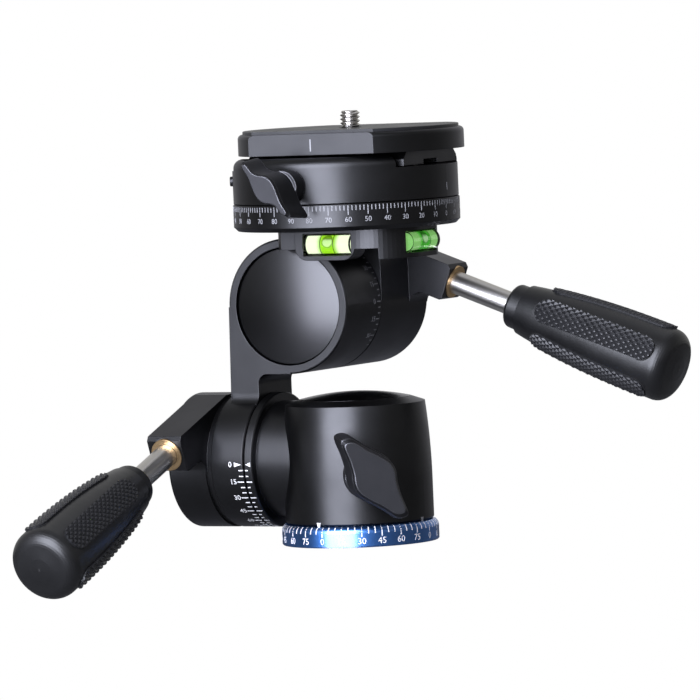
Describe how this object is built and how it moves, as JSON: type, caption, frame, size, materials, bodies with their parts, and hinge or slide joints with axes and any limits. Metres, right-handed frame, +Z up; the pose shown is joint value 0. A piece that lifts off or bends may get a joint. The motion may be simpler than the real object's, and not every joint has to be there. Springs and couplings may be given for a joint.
{
  "type": "four-way tripod head",
  "caption": "Tripod head that pans at its base and its top and tilts two ways, with screw-lock handles, level vials and a dovetail quick-release plate.",
  "frame": {"origin": "centre of the tripod thread's mouth, in the plane of the base's underside", "axes": "+Z up along the base's pan axis; the lower tilt axis runs along X, with the tilt arm and both tilt clamps' left side at -X; +Y points to the back, and the lower handle points to -Y and the upper handle to +X"},
  "size_m": [0.1626, 0.1691, 0.147],
  "materials": {
    "black_anodised": "fine blasted and black anodised, half matt",
    "satin_black": "turned and black anodised, satin",
    "knob_black": "black anodised casting, satin",
    "blue_ring": "blue anodised, satin sheen, engraved white",
    "stainless": "turned stainless steel, fine lines around",
    "bronze": "plain turned bronze",
    "nylon": "smooth white bearing plastic",
    "grip_black": "moulded hard plastic, half matt",
    "pad_rubber": "diamond-patterned rubber",
    "plate_rubber": "smooth rubber sheet",
    "vial_clear": "clear acrylic, polished",
    "vial_fluid_yellow": "bright yellow-green level fluid",
    "vial_fluid_green": "bright green level fluid"
  },
  "bodies": {
    "base": {"graduated_pan_ring": "blue_ring", "tripod_thread_bush": "stainless", "pan_spindle": "stainless", "spindle_nut": "stainless", "spindle_thrust_washer": "bronze", "pan_friction_washer": "nylon"},
    "pan_body": {"pan_housing": "black_anodised", "housing_cap": "satin_black", "lower_tilt_axle": "stainless", "lower_friction_washer": "nylon"},
    "pan_lock": {"pan_lock_stud": "stainless", "pan_brake_shoe": "bronze"},
    "pan_knob": {"pan_wing_knob": "knob_black"},
    "arm": {"tilt_arm": "black_anodised", "arm_front_cap": "satin_black", "lower_clamp_housing": "black_anodised", "clamp_housing_screws": "stainless", "lower_handle_bush": "bronze", "upper_tilt_axle": "stainless", "upper_friction_washer": "nylon"},
    "lower_lock": {"lower_brake_shoe": "bronze"},
    "lower_handle": {"lower_handle_rod": "stainless", "lower_handle_grip": "grip_black", "lower_grip_pads": "pad_rubber"},
    "tilt_head": {"tilt_head_body": "black_anodised", "rear_cap": "satin_black", "upper_handle_bush": "bronze", "front_vial": "vial_clear", "front_vial_fluid": "vial_fluid_yellow", "side_vial": "vial_clear", "side_vial_fluid": "vial_fluid_green", "scale_ring": "black_anodised", "scale_ring_screws": "stainless", "top_spindle": "stainless", "top_retaining_washer": "bronze", "top_retaining_screw": "stainless", "top_drag_ring": "nylon"},
    "upper_lock": {"upper_brake_shoe": "bronze"},
    "upper_handle": {"upper_handle_rod": "stainless", "upper_handle_grip": "grip_black", "upper_grip_pads": "pad_rubber"},
    "clamp": {"clamp_body": "black_anodised", "fixed_stop_pin": "stainless"},
    "jaw": {"moving_jaw": "satin_black", "jaw_stud": "stainless"},
    "clamp_knob": {"clamp_wing_knob": "knob_black"},
    "button": {"release_button": "satin_black"},
    "stop_pin": {"release_pin": "stainless"},
    "plate": {"quick_release_plate": "black_anodised", "plate_pad": "plate_rubber", "plate_stop_screws": "stainless"},
    "screw": {"camera_screw": "stainless"}
  },
  "joints": [
    {"name": "base_pan", "type": "hinge", "parent": "base", "child": "pan_body", "pos_m": [0, 0, 0.03], "axis": [0, 0, 1], "continuous": true},
    {"name": "pan_lock_travel", "type": "slide", "parent": "pan_body", "child": "pan_lock", "axis": [0.5948, -0.8039, 0], "range_m": [0, 0.0005]},
    {"name": "pan_knob_turn", "type": "hinge", "parent": "pan_lock", "child": "pan_knob", "pos_m": [0, 0, 0.0232], "axis": [0.5948, -0.8039, 0], "range_deg": [0, 180]},
    {"name": "lower_tilt", "type": "hinge", "parent": "pan_body", "child": "arm", "pos_m": [0, 0, 0.0266], "axis": [1, 0, 0], "range_deg": [-90, 30]},
    {"name": "lower_lock_travel", "type": "slide", "parent": "arm", "child": "lower_lock", "axis": [0, -0.9385, -0.3453], "range_m": [0, 0.0006]},
    {"name": "lower_handle_turn", "type": "hinge", "parent": "lower_lock", "child": "lower_handle", "pos_m": [-0.05, -0.00568, 0.04204], "axis": [0, -0.9385, -0.3453], "range_deg": [0, 180]},
    {"name": "upper_tilt", "type": "hinge", "parent": "arm", "child": "tilt_head", "pos_m": [-0.0181, 0, 0.0766], "axis": [0, 1, 0], "range_deg": [-90, 45]},
    {"name": "upper_lock_travel", "type": "slide", "parent": "tilt_head", "child": "upper_lock", "axis": [0.9385, 0, -0.3453], "range_m": [0, 0.0006]},
    {"name": "upper_handle_turn", "type": "hinge", "parent": "upper_lock", "child": "upper_handle", "pos_m": [-0.01242, 0.0384, 0.09204], "axis": [0.9385, 0, -0.3453], "range_deg": [0, 180]},
    {"name": "top_pan", "type": "hinge", "parent": "tilt_head", "child": "clamp", "pos_m": [0, 0, 0.1103], "axis": [0, 0, 1], "continuous": true},
    {"name": "jaw_travel", "type": "slide", "parent": "clamp", "child": "jaw", "axis": [0.0419, -0.9991, 0], "range_m": [0, 0.003]},
    {"name": "clamp_knob_turn", "type": "hinge", "parent": "jaw", "child": "clamp_knob", "pos_m": [-0.0013, -0.00005, 0.116], "axis": [0.0419, -0.9991, 0], "range_deg": [0, 1080]},
    {"name": "button_press", "type": "slide", "parent": "clamp", "child": "button", "axis": [0.8829, 0.4695, 0], "range_m": [0, 0.0008], "stiffness_N_per_m": 300, "springref_m": -0.001},
    {"name": "release_pin_drop", "type": "slide", "parent": "clamp", "child": "stop_pin", "axis": [0, 0, -1], "range_m": [0, 0.0016]},
    {"name": "plate_slide", "type": "slide", "parent": "clamp", "child": "plate", "axis": [0.9991, 0.0419, 0], "range_m": [-0.0064, 0.0013]},
    {"name": "camera_screw_turn", "type": "hinge", "parent": "plate", "child": "screw", "pos_m": [0.0026, 0.00011, 0.1334], "axis": [0, 0, 1], "continuous": true}
  ],
  "couplings": [
    {"joint": "pan_knob_turn", "follows": "pan_lock_travel", "rad_per_m": 6283.2},
    {"joint": "lower_handle_turn", "follows": "lower_lock_travel", "rad_per_m": 5236},
    {"joint": "upper_handle_turn", "follows": "upper_lock_travel", "rad_per_m": 5236},
    {"joint": "clamp_knob_turn", "follows": "jaw_travel", "rad_per_m": 6283.2},
    {"joint": "release_pin_drop", "follows": "button_press", "ratio": 2}
  ]
}
